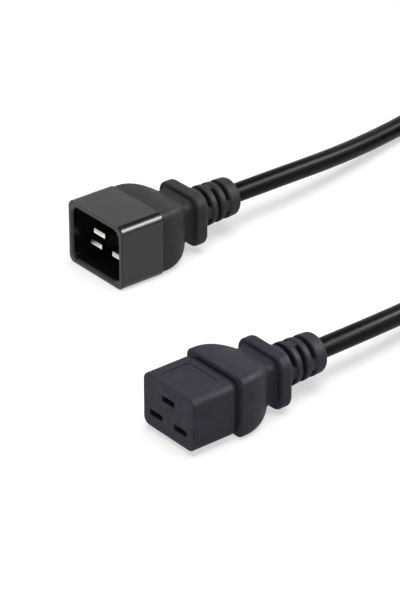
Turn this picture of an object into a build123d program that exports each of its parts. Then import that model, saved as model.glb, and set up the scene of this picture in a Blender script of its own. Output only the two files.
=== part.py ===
from build123d import *
import math
import os

# Power cord with a 16 A appliance plug on one end and a 16 A appliance connector on the other.
# All lengths are millimetres. Each end is drawn along its own axis: X is 0 at the mating face and
# grows towards the cord, Y runs along the wide side of the face, Z is up, and the axis is at Z = 0.
# The grip, with its flange and relief, is drawn from its own front and then moved behind its end.

# Socket block, the part of the connector that enters the shroud of an inlet
block_width = 27.2
block_height = 20.4
block_length = 20.0
block_corner = 3.0
face_wall = 1.6
face_rounding = 0.7
groove_length = 2.4
groove_depth = 1.0

# Shroud of the plug, which takes the same socket block
mating_gap = 0.4
shroud_wall = 2.4
shroud_length = 19.5
shroud_corner = 3.0
shroud_base = 2.0
rim_bevel = 0.7
rim_rounding = 0.6
shroud_back_rounding = 0.4

# Contact pattern, shared by the plug, the connector and the three cores
contact_spacing = 13.0
earth_height = 4.1
live_drop = 4.2
pin_width = 6.4
pin_thickness = 2.0
pin_bevel = 0.7
earth_tip = 1.6
live_tip = 5.0
slot_gap = 0.2

# Hard insert behind the shroud that carries the pins
boss_width = 22.0
boss_height = 15.0
boss_length = 4.5
boss_corner = 2.0

# Hard insert inside the socket block that carries the spring contacts
insert_width = 22.4
insert_height = 16.2
insert_corner = 2.0
insert_end = 18.0
cell_height = 4.0
cell_gap = 0.4
insert_back_wall = 2.0

# Spring contact, folded from sheet
leaf_sheet = 0.4
leaf_mouth = 1.0
leaf_mouth_drop = 0.33
leaf_pinch_gap = 1.6
leaf_mouth_gap = 2.8
leaf_pinch_depth = 3.2

# Crimps, cores and jacket
barrel_outer = 3.4
barrel_length = 4.0
conductor = 1.6
core_outer = 2.8
cord_outer = 7.6
inner_gap = 0.05
jacket_inset = 24.7
core_straight = 2.6
core_bend_share = 0.8
blade_tail = 1.0
bore_floor = 0.6

# Moulded grip: shoulders, neck, flange and slotted strain relief
shoulder_length = 16.7
neck_width = 18.4
neck_height = 16.8
neck_length = 3.2
cove_radius = 2.0
shoulder_straight = 2.2
grip_corner = 3.0
plug_grip_inset = 0.4
collar_step = 1.5
grip_front_rounding = 0.6
flange_length = 5.5
flange_width = 24.0
flange_height = 21.2
flange_corner = 5.0
flange_front_rounding = 1.1
flange_back_rounding = 1.8
flange_cove = 1.0
relief_cove = 0.5
relief_root = 16.4
relief_tip = 15.2
relief_length = 19.8
relief_rounding = 1.6
sleeve_wall = 1.3
slot_width = 1.8
slot_pitch = 4.5
slot_count = 3
first_slot = 4.4
bridge_width = 4.2
notch_width = 2.8
notch_depth = 0.5

# Shallow bare field on top of the socket block
field_length = 12.0
field_width = 16.0
field_depth = 0.25
field_start = 3.5

# Where the two ends lie, side by side with parallel axes
end_spacing = 109.0
connector_lead = 52.0

# Coil of the length of cord that is put away, three turns below and two above
coil_centre_x = 214.0
coil_centre_y = 31.6
coil_middle_radius = 42.0
coil_lower_turns = 3
coil_upper_turns = 2

# The cord lies this far above the floor, and leaves each relief straight for this long
floor_gap = 0.05
cord_straight_run = 44.0

# Share of the shorter run that each arc of the cord takes up at a corner
cord_arc_share = 0.45

# How far a cut, or a bar that joins another, runs past the face it crosses
overrun = 1.0

# Distances from the front of the grip
flange_start = shoulder_length + neck_length
grip_end = flange_start + flange_length
relief_end = grip_end + relief_length
jacket_start = relief_end - jacket_inset

cord_radius = cord_outer / 2
recess_depth = shroud_length - shroud_base
recess_width = block_width + 2 * mating_gap
recess_height = block_height + 2 * mating_gap
shroud_width = recess_width + 2 * shroud_wall
shroud_height = recess_height + 2 * shroud_wall
collar_width = block_width + 2 * collar_step
collar_height = block_height + 2 * collar_step


def contact_places():
    """Name, Y and Z of each of the three contacts about the axis of an end."""
    side = contact_spacing / 2
    return [("line", side, -live_drop), ("neutral", -side, -live_drop), ("earth", 0.0, earth_height)]


def bar(start, end, width, height, corner=0.0, y=0.0, z=0.0):
    """Rectangular bar along X with rounded long edges."""
    outline = RectangleRounded(width, height, corner) if corner else Rectangle(width, height)
    return extrude(Plane.YZ.offset(start) * Pos(y, z) * outline, amount=end - start)


def rod(start, end, diameter, y=0.0, z=0.0):
    """Round bar along X."""
    return extrude(Plane.YZ.offset(start) * Pos(y, z) * Circle(diameter / 2), amount=end - start)


def edges_across(solid, x):
    """Edges of a solid that lie in the plane at x."""
    return [e for e in solid.edges() if abs(e.bounding_box().min.X - x) < 0.01
            and abs(e.bounding_box().max.X - x) < 0.01]


def inner_edges(solid, x, width, height):
    """Edges in the plane at x that lie within a width and a height about the axis."""
    return [e for e in edges_across(solid, x) if abs(e.center().Y) < width / 2 + 0.01
            and abs(e.center().Z) < height / 2 + 0.01]


def shoulder_outline(half_front, half_neck):
    """Outline of the shoulders: flat, then one arc inwards and a small one out into the neck."""
    run = shoulder_length - shoulder_straight
    drop = half_front - half_neck
    centres_apart = (drop**2 + run**2) / (2 * drop)
    angle = math.degrees(math.atan2(run, centres_apart - drop))
    flat = Line((0, half_front), (shoulder_straight, half_front))
    outer = JernArc(start=flat @ 1, tangent=flat % 1, radius=centres_apart - cove_radius, arc_size=-angle)
    inner = JernArc(start=outer @ 1, tangent=outer % 1, radius=cove_radius, arc_size=angle)
    neck_end = (flange_start + grip_end) / 2
    neck = Line(inner @ 1, (neck_end, half_neck))
    closing = Polyline(neck @ 1, (neck_end, 0), (0, 0), flat @ 0)
    half = make_face(Curve() + [flat, outer, inner, neck, closing])
    return half + mirror(half, Plane.XZ)


def grip(width, height):
    """Shoulders that narrow both ways to the neck, then the flange and the round relief."""
    plan = extrude(shoulder_outline(width / 2, neck_width / 2), amount=height, both=True)
    side = extrude(shoulder_outline(height / 2, neck_height / 2), amount=width, both=True)
    shoulders = plan & Rot(90, 0, 0) * side
    long_edges = [e for e in shoulders.edges() if abs(e.center().Y) > 1 and abs(e.center().Z) > 1]
    shoulders = fillet(long_edges, grip_corner)
    shoulders = fillet(edges_across(shoulders, 0), grip_front_rounding)
    flange = bar(flange_start, grip_end, flange_width, flange_height, flange_corner)
    flange = fillet(edges_across(flange, flange_start), flange_front_rounding)
    flange = fillet(edges_across(flange, grip_end), flange_back_rounding)
    solid = shoulders + flange
    solid = fillet(inner_edges(solid, flange_start, neck_width, neck_height), flange_cove)
    solid += relief_sleeve()
    return fillet(inner_edges(solid, grip_end, relief_root, relief_root), relief_cove)


def slot_middles():
    """Distance of the middle of each ring slot from the front of the grip."""
    return [grip_end + first_slot + index * slot_pitch for index in range(slot_count)]


def relief_radius(x):
    """Outer radius of the relief, which tapers from the flange to its end."""
    along = (x - grip_end) / relief_length
    return (relief_root + (relief_tip - relief_root) * along) / 2


def relief_sleeve():
    """Tapered sleeve with a shallow rounded notch at each slot and a rounded end."""
    root = grip_end - flange_back_rounding
    outline = []
    last = (root, relief_radius(root))
    for middle in slot_middles():
        enter = (middle - notch_width / 2, relief_radius(middle))
        leave = (middle + notch_width / 2, relief_radius(middle))
        outline += [Line(last, enter), ThreePointArc(enter, (middle, enter[1] - notch_depth), leave)]
        last = leave
    tip = relief_radius(relief_end)
    bend = (relief_end - relief_rounding, tip)
    outline += [Line(last, bend), RadiusArc(bend, (relief_end, tip - relief_rounding), relief_rounding)]
    outline += [Polyline((relief_end, tip - relief_rounding), (relief_end, 0), (root, 0), outline[0] @ 0)]
    return revolve(make_face(Curve() + outline), axis=Axis.X)


def relief_slots():
    """Ring slots round the relief, each cut short by two bridges, turned a quarter turn in turn."""
    slots = []
    inside = cord_outer + 2 * (inner_gap + sleeve_wall)
    for index, middle in enumerate(slot_middles()):
        ends = (middle - slot_width / 2, middle + slot_width / 2)
        ring = rod(*ends, 2 * relief_root) - rod(*ends, inside)
        across = (3 * relief_root, bridge_width)
        bridge_size = across if index % 2 == 0 else across[::-1]
        slots.append(ring - bar(*ends, *bridge_size))
    return slots


def core_path(y, z, start, end, lead=0.0):
    """Route of one core from its crimp to its place among the three in the jacket."""
    lay_spacing = core_outer + inner_gap
    end_y = math.copysign(lay_spacing / 2, y) if y else 0.0
    end_z = -lay_spacing / math.sqrt(12) if y else lay_spacing / math.sqrt(3)
    corners = [
        (start - lead, y, z),
        (start + core_straight, y, z),
        (end - core_straight, end_y, end_z),
        (end, end_y, end_z),
    ]
    half_turn = (Vector(*corners[2]) - Vector(*corners[1])).get_angle(Vector(1, 0, 0)) / 2
    bend = core_bend_share * core_straight / math.tan(math.radians(half_turn))
    return FilletPolyline(*corners, radius=bend)


def round_along(path, diameter):
    """Round bar swept along a path."""
    return sweep(Plane(path @ 0, z_dir=path % 0) * Circle(diameter / 2), path=path)


def core(y, z, start, end):
    """Insulation of one core."""
    path = core_path(y, z, start, end)
    return round_along(path, core_outer) - round_along(path, conductor)


def strands(y, z, start, end):
    """Copper of one core, which reaches to the bottom of its crimp."""
    lead = barrel_length - bore_floor
    return round_along(core_path(y, z, start, end, lead), conductor)


def barrel(start, y, z, gap=0.0):
    """Crimp barrel, bored for the strands unless it is drawn with a gap round it."""
    tube = rod(start, start + barrel_length, barrel_outer + 2 * gap, y, z)
    if gap:
        return tube
    return tube - rod(start + bore_floor, start + barrel_length, conductor, y, z)


def pin(tip, y, z, gap=0.0):
    """Flat pin with a bevelled tip and a crimp barrel behind it."""
    blade = bar(tip, blade_end, pin_width + 2 * gap, pin_thickness + 2 * gap, y=y, z=z)
    if not gap:
        blade = chamfer(edges_across(blade, tip), pin_bevel)
    return blade + barrel(blade_end, y, z, gap)


def shroud():
    """Open box round the pins, with the solid base that holds them."""
    outside = bar(0, shroud_length, shroud_width, shroud_height, shroud_corner)
    outside = fillet(edges_across(outside, 0), rim_rounding)
    outside = fillet(edges_across(outside, shroud_length), shroud_back_rounding)
    recess = bar(0, recess_depth, recess_width, recess_height, block_corner)
    box = outside - recess
    box = chamfer(inner_edges(box, 0, recess_width, recess_height), rim_bevel)
    box += bar(shroud_length, boss_end, boss_width, boss_height, boss_corner)
    for name, y, z in contact_places():
        box -= bar(recess_depth - overrun, boss_end + overrun, pin_width, pin_thickness, y=y, z=z)
    return box


def drawn_in(body, front, behind, core_start):
    """Cut the slots, and the room for the pieces that the moulding was poured round."""
    core_end = front + jacket_start
    for name, y, z in contact_places():
        body -= behind(y, z)
        body -= round_along(core_path(y, z, core_start, core_end), core_outer + 2 * inner_gap)
    body -= rod(core_end, front + relief_end + overrun, cord_outer + 2 * inner_gap)
    for slot in relief_slots():
        body -= Pos(front, 0, 0) * slot
    return body


def plug_body():
    """Overmoulded grip behind the shroud."""
    inset = 2 * plug_grip_inset
    body = Pos(shroud_length, 0, 0) * grip(shroud_width - inset, shroud_height - inset)
    body -= bar(shroud_length, boss_end, boss_width, boss_height, boss_corner)
    return drawn_in(body, shroud_length, lambda y, z: pin(shroud_length, y, z, inner_gap), plug_core_start)


def spring_contact(y, z):
    """Folded spring clip: two leaves that pinch the pin, a web behind them and a crimp barrel."""
    front = face_wall + cell_gap
    half_back = (cell_height - 2 * cell_gap - leaf_sheet) / 2
    half_pinch = (leaf_pinch_gap + leaf_sheet) / 2
    half_mouth = (leaf_mouth_gap + leaf_sheet) / 2
    leaf = Polyline(
        (front, half_mouth), (front + leaf_mouth, half_mouth - leaf_mouth_drop),
        (front + leaf_pinch_depth, half_pinch), (cell_end - leaf_pinch_depth, half_back),
        (cell_end - leaf_sheet / 2, half_back), (cell_end - leaf_sheet / 2, 0))
    section = trace(leaf, line_width=leaf_sheet)
    section += mirror(section, Plane.XZ)
    clip = Pos(0, y, z) * Rot(90, 0, 0) * extrude(section, amount=pin_width / 2, both=True)
    return clip + barrel(cell_end, y, z)


def insert():
    """Hard block with one cell for each spring contact."""
    block = bar(face_wall, insert_end, insert_width, insert_height, insert_corner)
    for name, y, z in contact_places():
        block -= bar(face_wall, cell_end, pin_width + 2 * cell_gap, cell_height, y=y, z=z)
        block -= rod(cell_end, insert_end + overrun, barrel_outer + 2 * inner_gap, y, z)
    return block


def connector_body():
    """Overmoulding of the connector: socket block, collar, grip and relief in one piece."""
    block = bar(0, block_length + overrun, block_width, block_height, block_corner)
    block = fillet(edges_across(block, 0), face_rounding)
    body = block + Pos(block_length, 0, 0) * grip(collar_width, collar_height)
    groove_ends = (block_length - groove_length, block_length)
    groove_inside = (block_width - 2 * groove_depth, block_height - 2 * groove_depth)
    body -= bar(*groove_ends, collar_width, collar_height) - bar(*groove_ends, *groove_inside, block_corner)
    body -= bar(face_wall, insert_end, insert_width, insert_height, insert_corner)
    for name, y, z in contact_places():
        slot_size = (pin_width + 2 * slot_gap, pin_thickness + 2 * slot_gap)
        body -= bar(-overrun, face_wall, *slot_size, y=y, z=z)
    field_z = block_height / 2 - field_depth / 2
    body -= bar(field_start, field_start + field_length, field_width, field_depth, z=field_z)
    return drawn_in(body, block_length, lambda y, z: barrel(cell_end, y, z, inner_gap), connector_core_start)


def cord_tube(points, coil):
    """Free stretch of cord: straight runs joined by tangent arcs, ending where it meets the coil."""
    vectors = [Vector(*point) for point in points]
    runs = [after - before for before, after in zip(vectors, vectors[1:])]
    radii = []
    for before, after in zip(runs, runs[1:]):
        half_turn = math.radians(before.get_angle(after) / 2)
        radii.append(cord_arc_share * min(before.length, after.length) / math.tan(half_turn))
    path = FilletPolyline(*points, radius=radii)
    tube = round_along(path, cord_outer)
    section_volume = math.pi * cord_radius**2 * path.length
    print("cord radii", [round(r) for r in radii], "runs", [round(r.length, 1) for r in runs])
    print("path", round(path.length, 1), "volume over section times length", tube.volume / section_volume)
    return (tube - coil).solids().sort_by(Axis.X)[0]


def coil_solid():
    """Outer shape of the coiled turns: a row on the floor and a shorter row in its hollows."""
    lower_z = cord_radius + floor_gap
    upper_z = lower_z + cord_outer * math.sqrt(3) / 2
    half_lower = cord_outer * (coil_lower_turns - 1) / 2
    half_upper = cord_outer * (coil_upper_turns - 1) / 2
    centres = [(-half_lower, lower_z), (half_lower, lower_z), (half_upper, upper_z), (-half_upper, upper_z)]
    rings = Sketch() + [Pos(coil_middle_radius + x, z) * Circle(cord_radius) for x, z in centres]
    section = make_hull(rings.edges())
    return Pos(coil_centre_x, coil_centre_y) * revolve(Plane.XZ * section, axis=Axis.Z)


# Distances from the mating face of the plug, then of the connector
boss_end = shroud_length + boss_length
blade_end = boss_end + blade_tail
plug_core_start = blade_end + barrel_length
plug_jacket_start = shroud_length + jacket_start
cell_end = insert_end - insert_back_wall
connector_core_start = cell_end + barrel_length
connector_jacket_start = block_length + jacket_start

# Places of the two ends, with the origin under the middle of the pair
overall_length = connector_lead + shroud_length + relief_end
overall_width = collar_width / 2 + end_spacing + shroud_width / 2
connector_at = (-overall_length / 2, collar_width / 2 - overall_width / 2, collar_height / 2)
plug_at = (connector_at[0] + connector_lead, connector_at[1] + end_spacing, shroud_height / 2)

pieces = {"plug_shroud": shroud(), "plug_body": plug_body()}
for name, y, z in contact_places():
    tip = earth_tip if name == "earth" else live_tip
    pieces["plug_pin_" + name] = pin(tip, y, z)
    pieces["plug_core_" + name] = core(y, z, plug_core_start, plug_jacket_start)
    pieces["plug_strands_" + name] = strands(y, z, plug_core_start, plug_jacket_start)
placed = {name: Pos(*plug_at) * shape for name, shape in pieces.items()}

pieces = {"connector_body": connector_body(), "connector_insert": insert()}
for name, y, z in contact_places():
    pieces["connector_contact_" + name] = spring_contact(y, z)
    pieces["connector_core_" + name] = core(y, z, connector_core_start, connector_jacket_start)
    pieces["connector_strands_" + name] = strands(y, z, connector_core_start, connector_jacket_start)
placed.update({name: Pos(*connector_at) * shape for name, shape in pieces.items()})

# Free stretches of the cord, from inside each relief to the coil
plug_x, plug_y, plug_z = plug_at
connector_x, connector_y, connector_z = connector_at
plug_route = [
    (plug_x + plug_jacket_start, plug_y, plug_z),
    (plug_x + plug_jacket_start + cord_straight_run, plug_y, plug_z),
    (121.7, 60.0, 8.6),
    (164.0, 71.2, 4.2),
    (199.5, 79.5, 4.5),
]
connector_route = [
    (connector_x + connector_jacket_start, connector_y, connector_z),
    (connector_x + connector_jacket_start + cord_straight_run, connector_y, connector_z),
    (69.6, -48.2, 7.4),
    (110.3, -37.7, 3.9),
    (145.4, -29.6, 4.3),
    (174.4, -22.1, 8.0),
    (198.5, -17.6, 11.7),
    (214.0, -15.4, 11.2),
]
placed["cord_coil"] = coil_solid()
placed["cord_from_plug"] = cord_tube(plug_route, placed["cord_coil"])
placed["cord_from_connector"] = cord_tube(connector_route, placed["cord_coil"])

os.makedirs("parts", exist_ok=True)
for name, shape in placed.items():
    export_step(shape, "parts/" + name + ".step")
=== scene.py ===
"""Looks of a power cord: two moulded ends, their contacts, and one length of jacketed cord."""

import math

import bpy
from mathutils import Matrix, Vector


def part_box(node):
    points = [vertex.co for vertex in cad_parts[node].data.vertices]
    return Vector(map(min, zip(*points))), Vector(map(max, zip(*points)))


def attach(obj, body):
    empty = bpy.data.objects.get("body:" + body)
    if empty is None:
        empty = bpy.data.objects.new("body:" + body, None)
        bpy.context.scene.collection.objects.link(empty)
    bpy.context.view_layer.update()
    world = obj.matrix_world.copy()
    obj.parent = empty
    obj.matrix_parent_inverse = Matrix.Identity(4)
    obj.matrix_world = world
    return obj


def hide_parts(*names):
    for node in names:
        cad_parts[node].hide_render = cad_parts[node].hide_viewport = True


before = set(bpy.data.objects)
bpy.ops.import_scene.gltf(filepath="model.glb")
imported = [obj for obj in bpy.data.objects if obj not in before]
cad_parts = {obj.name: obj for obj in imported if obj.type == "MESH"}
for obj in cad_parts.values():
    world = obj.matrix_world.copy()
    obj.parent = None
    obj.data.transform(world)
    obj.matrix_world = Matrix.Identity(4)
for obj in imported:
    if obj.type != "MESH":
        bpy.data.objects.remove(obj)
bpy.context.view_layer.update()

# Lengths are metres, and MM turns a length in millimetres into metres
MM = 0.001

# Camera
VIEW_TURN = math.radians(39)  # away from square to the ends' own axis
VIEW_DOWN = math.radians(29)
VIEW_TARGET = Vector((17.7, 21.7, -4.8)) * MM
VIEW_DISTANCE = 1.1
PIXELS_PER_MM = 2.7  # at the target
PICTURE_HEIGHT = 600
SENSOR_HEIGHT = 36.0

# Cord
CORD_DIAMETER = 7.6 * MM
JACKET_INSET = 24.7 * MM  # how far inside a relief the jacket starts
STRAIGHT_RUN = 44.0 * MM  # from there to where the line may first turn
FLOOR_GAP = 0.05 * MM
CORD_STEPS = 12  # from one point of the line to the next
CORD_ROUNDNESS = 8

# Points that lead the cord's free stretches from each end, in millimetres
PLUG_STRETCH = [
    (121.7, 60.0, 8.6),
    (164.0, 71.2, 4.2),
    (199.5, 79.5, 4.5),
]
CONNECTOR_STRETCH = [
    (69.6, -48.2, 7.4),
    (110.3, -37.7, 3.9),
    (145.4, -29.6, 4.3),
    (174.4, -22.1, 8.0),
    (198.5, -17.6, 11.7),
    (214.0, -15.4, 11.2),
]

# Coil of the length that is put away, in millimetres
COIL_CENTRE = (214.0, 31.6)
COIL_LOWER = (49.6, 42.0, 34.4)  # radii of the turns on the floor
COIL_UPPER = (38.2, 45.8)  # radii of the turns on top of them
COIL_POINTS_PER_TURN = 16
COIL_SHIFT_SHARE = 0.25  # last part of a turn, where the cord shifts to the next radius
COIL_CLIMB = (0.45, 0.75)  # part of the last turn on the floor, where it rolls up the side of the one before
COIL_ROLL = (180, 120)  # degrees round that one, before and after the climb

# Seam on the connector's sides
SEAM_START = 1.0 * MM  # behind the connector's face
SEAM_WIDTH = 0.5 * MM
SEAM_HEIGHT = 0.08 * MM

# Colours
SHROUD_BLACK = (0.008, 0.008, 0.0085)
PLUG_GREY = (0.028, 0.0275, 0.030)
PLUG_SHADE = (0.035, 0.034, 0.037)  # clouds the plug's grey
CONNECTOR_GREY = (0.025, 0.026, 0.035)
CONNECTOR_SHADE = (0.031, 0.032, 0.042)  # clouds the connector's grey
JACKET_BLACK = (0.005, 0.005, 0.0047)
INSERT_BLACK = (0.02, 0.02, 0.02)
NICKEL = (0.84, 0.80, 0.74)
COPPER = (0.72, 0.38, 0.22)
BROWN = (0.13, 0.05, 0.02)
BLUE = (0.02, 0.10, 0.42)
GREEN = (0.10, 0.38, 0.05)
YELLOW = (0.72, 0.62, 0.04)
CORE_SHADE = 0.8  # share of its own colour that clouds a core without a stripe
FLOOR_GREY = (0.5, 0.5, 0.5)
WHITE = (1.0, 1.0, 1.0)

# Noise drawn out along X, into lines on metal and into bands on a core
DRAWN_LINES = (0.06, 1.0, 1.0)
DRAWN_BANDS = (0.2, 1.0, 1.0)

# Floor
FLOOR_REACH = 3.0
FLOOR_GLOW_NEAR = 0.58
FLOOR_GLOW_FAR = 0.90
FLOOR_GLOW_RISE = (0.5, 2.0)  # distances between which the glow rises

# Room
WALL_LIGHT = 0.36  # light of the walls on the object
CEILING_SHARE = 0.06  # the ceiling's share of it
CEILING_EDGE = (0.5, 0.62)  # how high a ray points where the walls turn into the ceiling

# Lamps that light the object: name, place, the point that each faces, width and height, and watts
LIGHT_LAMPS = (
    ("overhead", (0.1, -0.1, 1.5), (0.05, 0.0, 0.0), (1.4, 1.4), 28),
    ("front", (-1.2, -0.3, 0.12), (0.0, 0.0, 0.01), (0.9, 0.2), 6),
)

# Lamps that only draw highlights: the point that all face, then name, place, width and height, and watts
GLOSS_TARGET = (0.0, 0.0, 0.02)
GLOSS_LAMPS = (
    ("streak", (0.80, -0.62, 0.81), (1.15, 0.36), 31),
    ("streak_low", (0.66, -0.98, 0.55), (0.22, 0.30), 5),
    ("sheen", (1.115, -0.156, 0.65), (0.50, 0.35), 8),
    ("rim", (-0.17, 0.82, 0.86), (0.35, 0.35), 3),
)


def relief_end(node):
    """Middle of the end of a CAD node at its high X side, where the cord comes out."""
    low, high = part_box(node)
    return Vector((high.x, (low.y + high.y) / 2, (low.z + high.z) / 2))


plug_exit = relief_end("plug_body")
connector_exit = relief_end("connector_body")


def smooth(share):
    """Eases from 0 to 1."""
    share = min(1.0, max(0.0, share))
    return share * share * (3 - 2 * share)


def between(low, high, share):
    """A value part of the way from one to another."""
    return low + (high - low) * share


def coil_section(turned):
    """Radius and height of the cord's middle after so many turns, in millimetres."""
    diameter = CORD_DIAMETER / MM
    floor_z = diameter / 2 + FLOOR_GAP / MM
    hollow_z = floor_z + diameter * math.sqrt(3) / 2
    ridge_z = floor_z + diameter
    turn = int(turned)
    part = turned - turn
    shift = smooth((part - 1 + COIL_SHIFT_SHARE) / COIL_SHIFT_SHARE)
    crossing = math.sin(math.pi * shift)
    if turn < len(COIL_LOWER) - 1:
        return between(COIL_LOWER[turn], COIL_LOWER[turn + 1], shift), floor_z
    if turn == len(COIL_LOWER) - 1:
        start, end = COIL_CLIMB
        angle = math.radians(between(*COIL_ROLL, smooth((part - start) / (end - start))))
        radius = COIL_LOWER[turn - 1] + diameter * math.cos(angle)
        height = floor_z + diameter * math.sin(angle)
        return radius, between(height, ridge_z, crossing)
    layer = turn - len(COIL_LOWER)
    following = min(layer + 1, len(COIL_UPPER) - 1)
    radius = between(COIL_UPPER[layer], COIL_UPPER[following], shift)
    return radius, between(hollow_z, ridge_z, crossing if following > layer else 0.0)


def coil_points(first, last):
    """Points of the coil's turns between the last point of one route and the first of the other."""
    start = math.atan2(first[1] - COIL_CENTRE[1], first[0] - COIL_CENTRE[0])
    end = math.atan2(last[1] - COIL_CENTRE[1], last[0] - COIL_CENTRE[0])
    whole_turns = len(COIL_LOWER) + len(COIL_UPPER) - 1
    swept = (start - end) % (2 * math.pi) + 2 * math.pi * whole_turns
    count = round(swept / (2 * math.pi) * COIL_POINTS_PER_TURN)
    # The line touches the middles between its points, so the points lie further out than it does
    outwards = 1 / math.cos(math.pi / COIL_POINTS_PER_TURN)
    points = []
    for index in range(1, count):
        turned = swept * index / count
        radius, height = coil_section(turned / (2 * math.pi))
        angle = start - turned
        x = COIL_CENTRE[0] + radius * outwards * math.cos(angle)
        y = COIL_CENTRE[1] + radius * outwards * math.sin(angle)
        points.append((x, y, height))
    return points


def route_from(relief, points):
    """Points of a free stretch in millimetres: straight out of a relief, then as listed."""
    start = (relief - Vector((JACKET_INSET, 0, 0))) / MM
    turn = start + Vector((STRAIGHT_RUN / MM, 0, 0))
    return [tuple(start), tuple(turn)] + points


def make_cord():
    """The whole cord as one smooth line, from inside one relief through the coil into the other."""
    from_plug = route_from(plug_exit, PLUG_STRETCH)
    from_connector = route_from(connector_exit, CONNECTOR_STRETCH)
    points = from_plug + coil_points(from_plug[-1], from_connector[-1]) + from_connector[::-1]
    curve = bpy.data.curves.new("cord", "CURVE")
    curve.dimensions = "3D"
    spline = curve.splines.new("NURBS")
    spline.points.add(len(points) - 1)
    for target, place in zip(spline.points, points):
        target.co = (*(Vector(place) * MM), 1.0)
        target.radius = CORD_DIAMETER / 2
    spline.order_u = 3
    spline.use_endpoint_u = True
    spline.resolution_u = CORD_STEPS
    curve.bevel_depth = 1.0
    curve.bevel_resolution = CORD_ROUNDNESS
    curve.use_fill_caps = True
    piece = bpy.data.objects.new("cord", curve)
    bpy.context.scene.collection.objects.link(piece)
    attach(piece, "root")
    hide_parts("cord_from_plug", "cord_coil", "cord_from_connector")
    return piece


class Graph:
    """A node tree under construction."""

    def __init__(self, tree):
        self.tree = tree

    def add(self, kind):
        return self.tree.nodes.new("ShaderNode" + kind)

    def link(self, source, target):
        self.tree.links.new(source, target)

    def axes(self, vector):
        """X, Y and Z of a vector, by name."""
        node = self.add("SeparateXYZ")
        self.link(vector, node.inputs["Vector"])
        return node.outputs

    def ramp(self, value, low, high, low_at=0.3, high_at=0.7):
        """Runs from low to high while a value goes from low_at to high_at."""
        node = self.add("MapRange")
        node.inputs["From Min"].default_value = low_at
        node.inputs["From Max"].default_value = high_at
        node.inputs["To Min"].default_value = low
        node.inputs["To Max"].default_value = high
        self.link(value, node.inputs["Value"])
        return node.outputs["Result"]

    def compute(self, operation, first, second=None, clamp=False):
        """Result of one operation on a value and, where it needs one, a second value or a number."""
        node = self.add("Math")
        node.operation = operation
        node.use_clamp = clamp
        self.link(first, node.inputs[0])
        if isinstance(second, float):
            node.inputs[1].default_value = second
        elif second:
            self.link(second, node.inputs[1])
        return node.outputs[0]

    def background_share(self):
        """One where a camera, mirror or glass ray looks at the background, and zero for its light."""
        path = self.add("LightPath").outputs
        mirrored = self.compute("ADD", path["Is Camera Ray"], path["Is Glossy Ray"], clamp=True)
        return self.compute("ADD", mirrored, path["Is Transmission Ray"], clamp=True)


class Finish(Graph):
    """A material under construction: its nodes, its shader and the place on the object."""

    def __init__(self, name, colour, roughness, metallic=0.0, specular=0.5):
        self.material = bpy.data.materials.new(name)
        self.material.use_nodes = True
        super().__init__(self.material.node_tree)
        self.shader = self.tree.nodes["Principled BSDF"]
        self.shader.inputs["Base Color"].default_value = (*colour, 1.0)
        self.shader.inputs["Roughness"].default_value = roughness
        self.shader.inputs["Metallic"].default_value = metallic
        self.shader.inputs["Specular IOR Level"].default_value = specular
        self.place = self.add("TexCoord").outputs["Object"]

    def feed(self, socket, value):
        """Lets a value drive one of the shader's sockets."""
        self.link(value, self.shader.inputs[socket])

    def noise(self, size_mm, detail=3.0, stretch=(1.0, 1.0, 1.0)):
        """Noise whose grains are about so many millimetres across."""
        mapping = self.add("Mapping")
        mapping.inputs["Scale"].default_value = stretch
        self.link(self.place, mapping.inputs["Vector"])
        noise = self.add("TexNoise")
        noise.inputs["Scale"].default_value = 1 / (size_mm * MM)
        noise.inputs["Detail"].default_value = detail
        self.link(mapping.outputs["Vector"], noise.inputs["Vector"])
        return noise.outputs["Fac"]

    def colours(self, value, first, second):
        """Base colour that runs between two colours."""
        node = self.add("Mix")
        node.data_type = "RGBA"
        node.inputs["A"].default_value = (*first, 1.0)
        node.inputs["B"].default_value = (*second, 1.0)
        self.link(value, node.inputs["Factor"])
        self.feed("Base Color", node.outputs["Result"])

    def bump(self, value, height_mm):
        """Adds relief of so many millimetres to what is there."""
        node = self.add("Bump")
        node.inputs["Distance"].default_value = height_mm * MM
        self.link(value, node.inputs["Height"])
        before = self.shader.inputs["Normal"]
        if before.is_linked:
            self.link(before.links[0].from_socket, node.inputs["Normal"])
        self.link(node.outputs["Normal"], before)

    def seam(self, start):
        """Fine ridge that the mould's two halves leave at one height, from a point on along X."""
        place = self.axes(self.place)
        away = self.compute("ABSOLUTE", self.compute("SUBTRACT", place["Z"], start.z))
        ridge = self.ramp(away, low=1.0, high=0.0, low_at=0.0, high_at=SEAM_WIDTH / 2)
        behind = self.compute("GREATER_THAN", place["X"], start.x)
        self.bump(self.compute("MULTIPLY", ridge, behind), SEAM_HEIGHT / MM)


def shroud_finish():
    """Hard black moulding: a soft gloss over a very fine grain."""
    finish = Finish("shroud_plastic", SHROUD_BLACK, roughness=0.25, specular=0.42)
    finish.feed("Roughness", finish.ramp(finish.noise(6.0), low=0.20, high=0.27))
    finish.bump(finish.noise(0.4, detail=2.0), height_mm=0.003)
    return finish.material


def grip_finish(name, colour, shade, seam_start=None):
    """Soft PVC overmoulding: matte, with a fine grain, faint cloudy shades and, from a point on, a seam."""
    finish = Finish(name, colour, roughness=0.56, specular=0.10)
    finish.colours(finish.ramp(finish.noise(9.0, detail=4.0), low=0.0, high=1.0), colour, shade)
    finish.feed("Roughness", finish.ramp(finish.noise(3.0), low=0.48, high=0.64))
    finish.bump(finish.noise(0.35), height_mm=0.03)
    finish.bump(finish.noise(4.0, detail=2.0), height_mm=0.04)
    if seam_start:
        finish.seam(seam_start)
    return finish.material


def jacket_finish():
    """Cord jacket: smooth black PVC with a soft sheen and a faint, fine grain."""
    finish = Finish("jacket_pvc", JACKET_BLACK, roughness=0.30, specular=0.05)
    finish.feed("Roughness", finish.ramp(finish.noise(5.0), low=0.27, high=0.34))
    finish.bump(finish.noise(0.5, detail=2.0), height_mm=0.012)
    return finish.material


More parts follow.
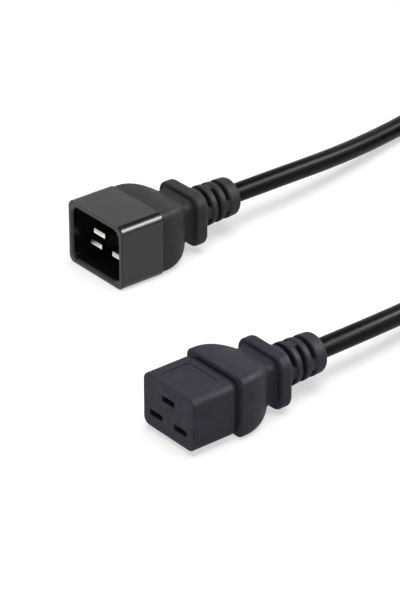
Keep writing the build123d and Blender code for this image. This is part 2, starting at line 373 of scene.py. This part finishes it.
def metal_finish(name, colour, roughness):
    """Metal with fine lines along the contact."""
    finish = Finish(name, colour, roughness, metallic=1.0)
    lines = finish.noise(0.12, stretch=DRAWN_LINES)
    finish.feed("Roughness", finish.ramp(lines, low=roughness - 0.06, high=roughness + 0.08))
    finish.bump(lines, height_mm=0.003)
    return finish.material


def core_finish(name, colour, stripe=None):
    """Insulation of one core, with a second colour in bands along it where it has one."""
    finish = Finish(name, colour, roughness=0.35)
    other = stripe or tuple(value * CORE_SHADE for value in colour)
    bands = finish.noise(3.0, detail=1.0, stretch=DRAWN_BANDS)
    finish.colours(finish.ramp(bands, low=0.0, high=1.0, low_at=0.48, high_at=0.52), colour, other)
    return finish.material


def insert_finish():
    """Hard moulding round the spring contacts."""
    finish = Finish("insert_plastic", INSERT_BLACK, roughness=0.5)
    finish.feed("Roughness", finish.ramp(finish.noise(2.0), low=0.45, high=0.58))
    return finish.material


def dress(node, material):
    """Gives a CAD node its material."""
    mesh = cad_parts[node].data
    mesh.materials.clear()
    mesh.materials.append(material)


def dress_ends():
    """The mouldings and contacts of both ends, and the cores inside them."""
    connector_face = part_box("connector_body")[0].x
    seam_start = Vector((connector_face + SEAM_START, 0.0, connector_exit.z))
    dress("plug_shroud", shroud_finish())
    dress("plug_body", grip_finish("plug_overmould", PLUG_GREY, PLUG_SHADE))
    dress("connector_body", grip_finish("connector_overmould", CONNECTOR_GREY, CONNECTOR_SHADE, seam_start))
    dress("connector_insert", insert_finish())
    plate = metal_finish("nickel_plate", NICKEL, roughness=0.22)
    copper = metal_finish("copper_strands", COPPER, roughness=0.35)
    cores = {
        "line": core_finish("core_brown", BROWN),
        "neutral": core_finish("core_blue", BLUE),
        "earth": core_finish("core_green_yellow", GREEN, YELLOW),
    }
    for contact, insulation in cores.items():
        dress("plug_pin_" + contact, plate)
        dress("connector_contact_" + contact, plate)
        for end in ("plug", "connector"):
            dress(end + "_core_" + contact, insulation)
            dress(end + "_strands_" + contact, copper)


def dress_cord(cord):
    """The jacket, on the smooth cord and on the solids that it stands for."""
    jacket = jacket_finish()
    cord.data.materials.append(jacket)
    for node in ("cord_coil", "cord_from_plug", "cord_from_connector"):
        dress(node, jacket)


def make_floor():
    """Pale floor that keeps the object's shadow, and stays white far from the lamps."""
    corners = [(x * FLOOR_REACH, y * FLOOR_REACH, 0.0) for x, y in ((-1, -1), (1, -1), (1, 1), (-1, 1))]
    mesh = bpy.data.meshes.new("floor")
    mesh.from_pydata(corners, [], [(0, 1, 2, 3)])
    floor = bpy.data.objects.new("floor", mesh)
    bpy.context.scene.collection.objects.link(floor)
    paper = Finish("floor_paper", FLOOR_GREY, roughness=1.0, specular=0.0)
    paper.shader.inputs["Emission Color"].default_value = (*WHITE, 1.0)
    away = paper.add("VectorMath")
    away.operation = "LENGTH"
    paper.link(paper.place, away.inputs[0])
    glow = paper.ramp(away.outputs["Value"], FLOOR_GLOW_NEAR, FLOOR_GLOW_FAR, *FLOOR_GLOW_RISE)
    paper.feed("Emission Strength", paper.compute("MULTIPLY", paper.background_share(), glow))
    mesh.materials.append(paper.material)


def make_world():
    """A white room with a dark ceiling, which is white all over to the eye."""
    world = bpy.data.worlds.new("studio")
    bpy.context.scene.world = world
    world.use_nodes = True
    room = Graph(world.node_tree)
    background = world.node_tree.nodes["Background"]
    background.inputs["Color"].default_value = (*WHITE, 1.0)
    walls = room.ramp(room.background_share(), low=WALL_LIGHT, high=1.0, low_at=0.0, high_at=1.0)
    direction = room.axes(room.add("TexCoord").outputs["Generated"])
    ceiling = room.ramp(direction["Z"], 1.0, CEILING_SHARE, *CEILING_EDGE)
    camera_ray = room.add("LightPath").outputs["Is Camera Ray"]
    strength = room.compute("MAXIMUM", camera_ray, room.compute("MULTIPLY", walls, ceiling))
    room.link(strength, background.inputs["Strength"])


def softbox(name, place, target, size, watts, gloss):
    """Rectangular lamp that faces a point. It either lights the scene or only draws highlights."""
    light = bpy.data.lights.new(name, "AREA")
    light.shape = "RECTANGLE"
    light.size, light.size_y = size
    light.energy = watts
    lamp = bpy.data.objects.new(name, light)
    lamp.location = place
    lamp.rotation_euler = (Vector(target) - Vector(place)).to_track_quat("-Z", "Y").to_euler()
    lamp.visible_diffuse = not gloss
    lamp.visible_glossy = gloss
    bpy.context.scene.collection.objects.link(lamp)


def make_lights():
    """The lamps that light the object, and those that only draw highlights."""
    for name, place, target, size, watts in LIGHT_LAMPS:
        softbox(name, place, target, size, watts, gloss=False)
    for name, place, size, watts in GLOSS_LAMPS:
        softbox(name, place, GLOSS_TARGET, size, watts, gloss=True)


def make_camera():
    """Looks at the object from its mating faces' side, turned and tilted as the photograph is."""
    ahead = Vector((
        math.sin(VIEW_TURN) * math.cos(VIEW_DOWN),
        math.cos(VIEW_TURN) * math.cos(VIEW_DOWN),
        -math.sin(VIEW_DOWN),
    ))
    data = bpy.data.cameras.new("camera")
    data.sensor_fit = "VERTICAL"
    data.sensor_height = SENSOR_HEIGHT
    data.lens = PIXELS_PER_MM / MM * VIEW_DISTANCE * SENSOR_HEIGHT / PICTURE_HEIGHT
    camera = bpy.data.objects.new("camera", data)
    camera.location = VIEW_TARGET - ahead * VIEW_DISTANCE
    camera.rotation_euler = ahead.to_track_quat("-Z", "Y").to_euler()
    bpy.context.scene.collection.objects.link(camera)
    bpy.context.scene.camera = camera


make_camera()
cord_piece = make_cord()
dress_ends()
dress_cord(cord_piece)
make_floor()
make_world()
make_lights()
bpy.context.scene.view_settings.view_transform = "Standard"
